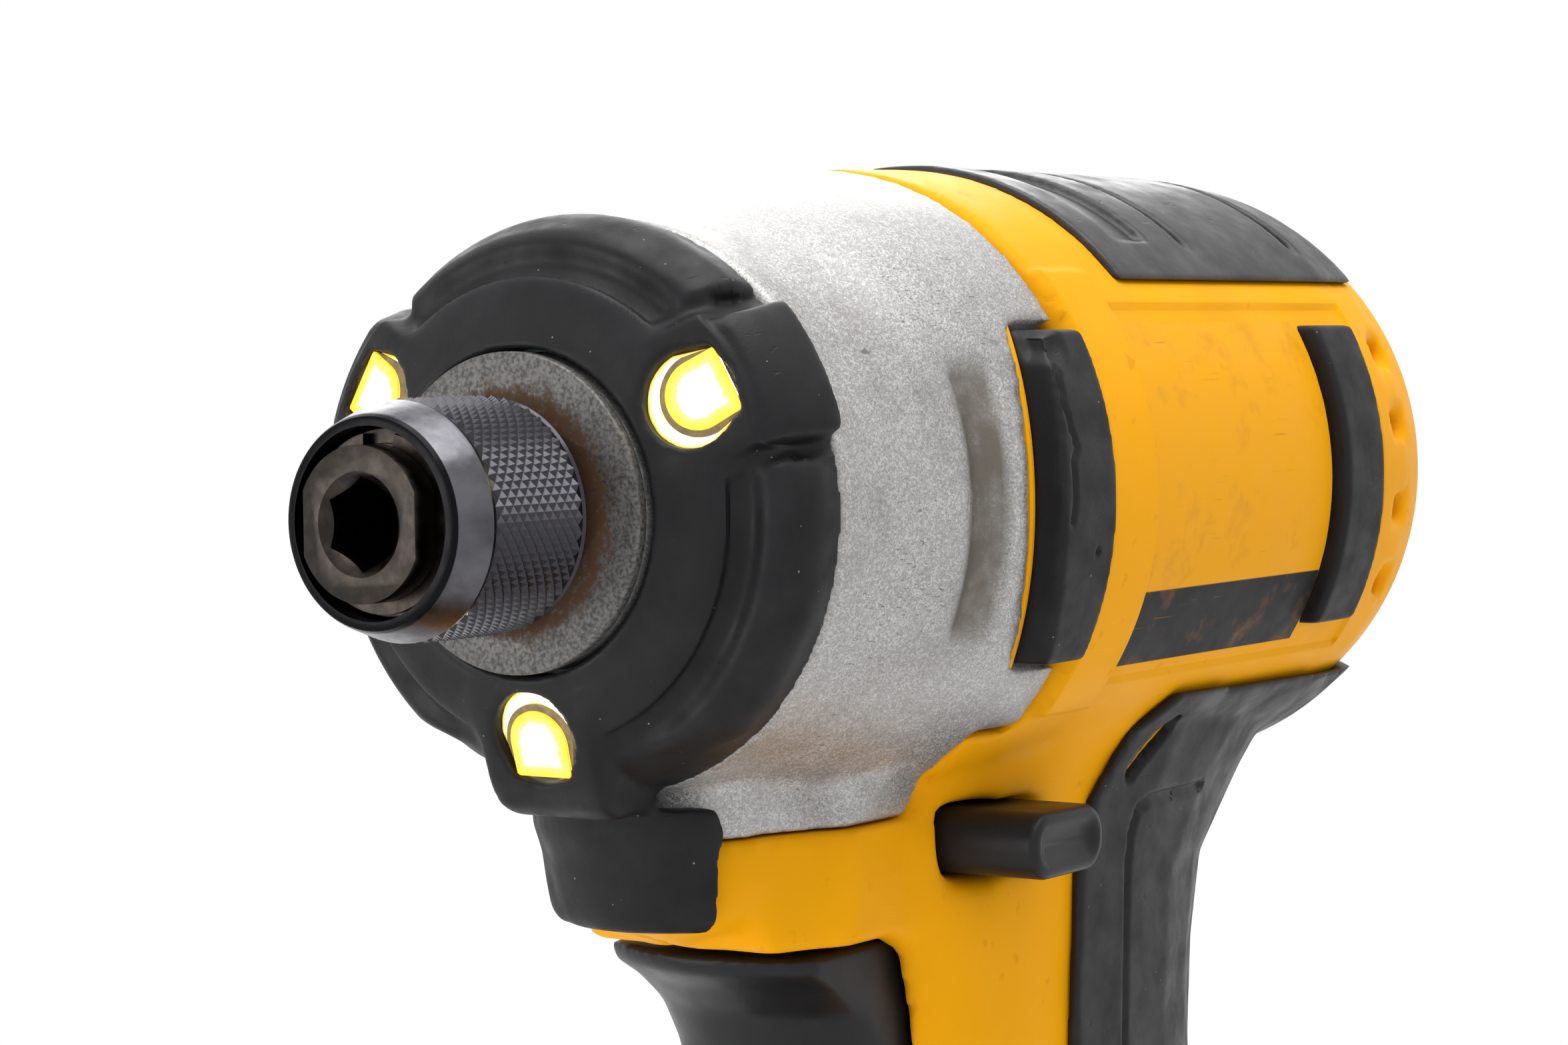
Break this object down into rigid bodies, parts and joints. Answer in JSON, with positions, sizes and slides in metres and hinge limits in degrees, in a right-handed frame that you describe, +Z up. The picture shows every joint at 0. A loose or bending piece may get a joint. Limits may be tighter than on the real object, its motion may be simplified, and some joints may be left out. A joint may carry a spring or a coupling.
{
  "type": "impact driver",
  "caption": "Cordless impact driver with hex bit sleeve, lit nose, planetary hammer drive, trigger, direction bar and slide-on battery pack.",
  "frame": {"origin": "on the pack's bottom face, below the middle of the head's length", "axes": "+X forward along the tool axis, +Y to the tool's left, +Z up"},
  "size_m": [0.141, 0.076, 0.2201],
  "materials": {
    "yellow_plastic": "fine moulded grain",
    "cast_silver": "silver coat with metal flake, scratched",
    "black_rubber": "soft matt overmould",
    "black_plastic": "fine moulded grain",
    "speckled_steel": "blasted grey with rust stains",
    "sleeve_steel": "polished turned steel with a diamond knurl",
    "dark_steel": "black oxide, oiled",
    "bright_steel": "ground",
    "spring_steel": "oiled wire",
    "bronze": "sintered",
    "seal_rubber": "matt",
    "lamp_lens": "clear over a warm white lamp",
    "circuit_board": "solder mask",
    "plate_aluminium": "die cast",
    "copper": "lacquered wire and bare segments",
    "magnet": "sintered",
    "carbon": "pressed carbon",
    "terminal_plastic": "glass filled",
    "lead_red": "insulated wire",
    "lead_black": "insulated wire",
    "label_film": "plain film with a dark stripe",
    "cell_wrap": "shrink wrap",
    "latch_plastic": "fine moulded grain"
  },
  "bodies": {
    "housing": {"left_housing": "yellow_plastic", "right_housing": "yellow_plastic", "gear_case": "cast_silver", "nose_boot": "black_rubber", "nose_washer": "speckled_steel", "nose_seal": "seal_rubber", "anvil_bushing": "bronze", "thrust_washer": "dark_steel", "led_board": "circuit_board", "led_lenses": "lamp_lens", "ring_gear": "bright_steel", "spindle_bearing": "bright_steel", "motor_plate": "plate_aluminium", "plate_screws": "dark_steel", "rotor_front_bearing": "bright_steel", "motor_can": "dark_steel", "motor_magnets": "magnet", "brush_card": "black_plastic", "carbon_brushes": "carbon", "rotor_rear_bearing": "bright_steel", "trigger_spring": "spring_steel", "switch_body": "black_plastic", "control_module": "circuit_board", "terminal_block": "terminal_plastic", "battery_leads": "lead_red", "motor_leads": "lead_black", "top_pad": "black_rubber", "front_bumpers": "black_rubber", "rear_bumpers": "black_rubber", "side_labels": "label_film", "left_grip": "black_rubber", "right_grip": "black_rubber", "housing_screws": "dark_steel"},
    "spindle": {"spindle": "dark_steel", "planet_pins": "bright_steel", "cam_balls": "bright_steel", "spring_washer": "dark_steel", "hammer_spring": "spring_steel"},
    "hammer": {"hammer": "dark_steel"},
    "anvil": {"anvil": "dark_steel", "detent_balls": "bright_steel", "retaining_ring": "dark_steel", "sleeve_washer": "dark_steel", "sleeve_spring": "spring_steel"},
    "sleeve": {"bit_sleeve": "sleeve_steel"},
    "rotor": {"rotor_shaft": "bright_steel", "cooling_fan": "black_plastic", "armature": "bright_steel", "armature_winding": "copper", "commutator": "copper"},
    "planet_a": {"planet_gear_a": "bright_steel"},
    "planet_b": {"planet_gear_b": "bright_steel"},
    "trigger": {"trigger": "black_plastic"},
    "selector": {"selector_bar": "black_plastic"},
    "battery": {"battery_case": "black_plastic", "battery_cover": "black_plastic", "battery_cells": "cell_wrap", "battery_terminals": "copper", "battery_latch_spring": "spring_steel"},
    "latch": {"battery_latch": "latch_plastic"}
  },
  "joints": [
    {"name": "rotor_spin", "type": "hinge", "parent": "housing", "child": "rotor", "pos_m": [0, 0, 0.19], "axis": [1, 0, 0], "continuous": true},
    {"name": "spindle_spin", "type": "hinge", "parent": "housing", "child": "spindle", "pos_m": [0, 0, 0.19], "axis": [1, 0, 0], "continuous": true},
    {"name": "anvil_spin", "type": "hinge", "parent": "housing", "child": "anvil", "pos_m": [0, 0, 0.19], "axis": [1, 0, 0], "continuous": true},
    {"name": "planet_a_spin", "type": "hinge", "parent": "spindle", "child": "planet_a", "pos_m": [0, 0.0117, 0.19], "axis": [1, 0, 0], "continuous": true},
    {"name": "planet_b_spin", "type": "hinge", "parent": "spindle", "child": "planet_b", "pos_m": [0, -0.0117, 0.19], "axis": [1, 0, 0], "continuous": true},
    {"name": "hammer_slide", "type": "slide", "parent": "spindle", "child": "hammer", "axis": [-1, 0, 0], "range_m": [0, 0.007], "stiffness_N_per_m": 2500, "springref_m": -0.002, "deforming": ["hammer_spring"]},
    {"name": "sleeve_slide", "type": "slide", "parent": "anvil", "child": "sleeve", "axis": [1, 0, 0], "range_m": [0, 0.003], "stiffness_N_per_m": 800, "springref_m": -0.001, "deforming": ["sleeve_spring"]},
    {"name": "trigger_slide", "type": "slide", "parent": "housing", "child": "trigger", "axis": [-1, 0, 0], "range_m": [0, 0.006], "stiffness_N_per_m": 600, "springref_m": -0.002, "deforming": ["trigger_spring"]},
    {"name": "selector_slide", "type": "slide", "parent": "housing", "child": "selector", "axis": [0, -1, 0], "range_m": [0, 0.008]},
    {"name": "battery_slide", "type": "slide", "parent": "housing", "child": "battery", "axis": [1, 0, 0], "range_m": [0, 0.06]},
    {"name": "latch_press", "type": "slide", "parent": "battery", "child": "latch", "axis": [0, 0, -1], "range_m": [0, 0.004], "stiffness_N_per_m": 600, "springref_m": -0.002, "deforming": ["battery_latch_spring"]}
  ],
  "couplings": [
    {"joint": "spindle_spin", "follows": "rotor_spin", "ratio": 0.16667},
    {"joint": "anvil_spin", "follows": "rotor_spin", "ratio": 0.16667},
    {"joint": "planet_a_spin", "follows": "rotor_spin", "ratio": -0.41667},
    {"joint": "planet_b_spin", "follows": "rotor_spin", "ratio": -0.41667}
  ]
}
